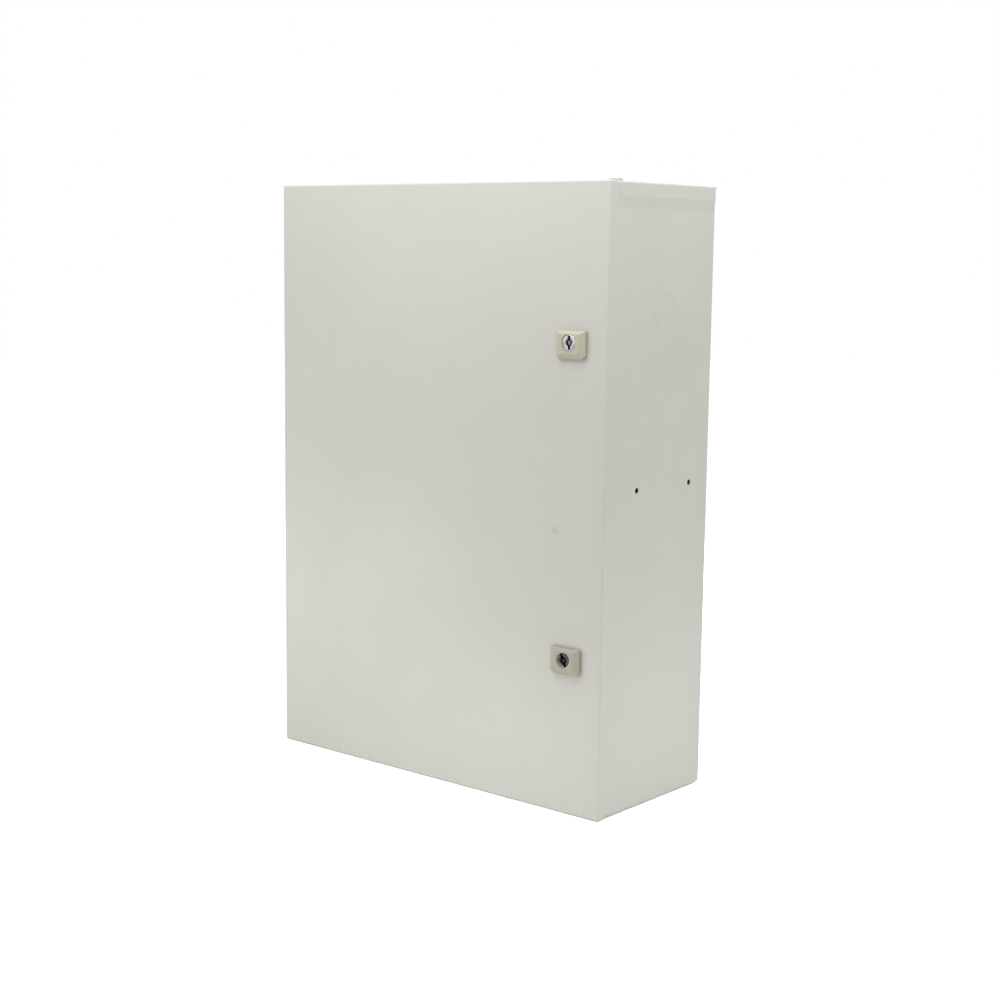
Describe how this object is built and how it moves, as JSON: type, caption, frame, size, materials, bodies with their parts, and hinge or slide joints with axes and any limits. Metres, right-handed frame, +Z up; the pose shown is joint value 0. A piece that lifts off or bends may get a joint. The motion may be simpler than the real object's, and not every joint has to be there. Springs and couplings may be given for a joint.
{
  "type": "wall-mounting utility cabinet",
  "caption": "Flat wall-mounting sheet-steel equipment cabinet with a hinged full-face door, quarter-turn locks in beige escutcheons and an inner mounting plate.",
  "frame": {"origin": "under the middle of the cabinet's bounding box, on the surface that it stands on", "axes": "+Z up, -Y the way the door faces, +Y towards the wall, +X towards the lock side"},
  "size_m": [0.5, 0.21, 0.7024],
  "materials": {
    "cabinet_paint": "semi-gloss light grey powder coat",
    "galvanised_steel": "galvanised sheet",
    "zinc_hardware": "zinc-plated",
    "zinc_diecast": "satin chromed zinc die casting",
    "lock_chrome": "bright chrome",
    "beige_plastic": "moulded beige plastic, fine satin",
    "foam_gasket": "foamed polyurethane",
    "black_rubber": "matt black rubber"
  },
  "bodies": {
    "cabinet": {"shell_wrap": "cabinet_paint", "roof_panel": "cabinet_paint", "floor_panel": "cabinet_paint", "gland_plate": "cabinet_paint", "gland_studs": "zinc_hardware", "gland_gasket": "black_rubber", "gland_nuts": "zinc_hardware", "plate_studs": "zinc_hardware", "mounting_plate": "galvanised_steel", "plate_washers": "zinc_hardware", "plate_nuts": "zinc_hardware", "earth_stud": "zinc_hardware", "earth_washer": "zinc_hardware", "earth_nut": "zinc_hardware", "upper_hinge_bracket": "zinc_hardware", "upper_hinge_pin": "zinc_hardware", "upper_hinge_screws": "zinc_hardware", "lower_hinge_bracket": "zinc_hardware", "lower_hinge_pin": "zinc_hardware", "lower_hinge_screws": "zinc_hardware"},
    "door": {"door_panel": "cabinet_paint", "door_gasket": "foam_gasket", "door_rail_left": "galvanised_steel", "door_rail_right": "galvanised_steel", "door_earth_stud": "zinc_hardware", "door_earth_nut": "zinc_hardware", "upper_hinge_leaf": "zinc_hardware", "upper_lock_seal": "black_rubber", "upper_escutcheon": "beige_plastic", "upper_lock_housing": "zinc_diecast", "upper_lock_nut": "zinc_hardware", "lower_hinge_leaf": "zinc_hardware", "lower_lock_seal": "black_rubber", "lower_escutcheon": "beige_plastic", "lower_lock_housing": "zinc_diecast", "lower_lock_nut": "zinc_hardware"},
    "upper_lock": {"upper_lock_insert": "lock_chrome", "upper_lock_cam": "zinc_hardware", "upper_cam_washer": "zinc_hardware", "upper_cam_screw": "zinc_hardware"},
    "lower_lock": {"lower_lock_insert": "lock_chrome", "lower_lock_cam": "zinc_hardware", "lower_cam_washer": "zinc_hardware", "lower_cam_screw": "zinc_hardware"}
  },
  "joints": [
    {"name": "door_hinge", "type": "hinge", "parent": "cabinet", "child": "door", "pos_m": [-0.2445, -0.0925, 0.3505], "axis": [0, 0, -1], "range_deg": [0, 120]},
    {"name": "upper_lock_turn", "type": "hinge", "parent": "door", "child": "upper_lock", "pos_m": [0.2025, -0.098, 0.5275], "axis": [0, -1, 0], "range_deg": [0, 90]},
    {"name": "lower_lock_turn", "type": "hinge", "parent": "door", "child": "lower_lock", "pos_m": [0.2025, -0.098, 0.1775], "axis": [0, -1, 0], "range_deg": [-25, 65]}
  ]
}
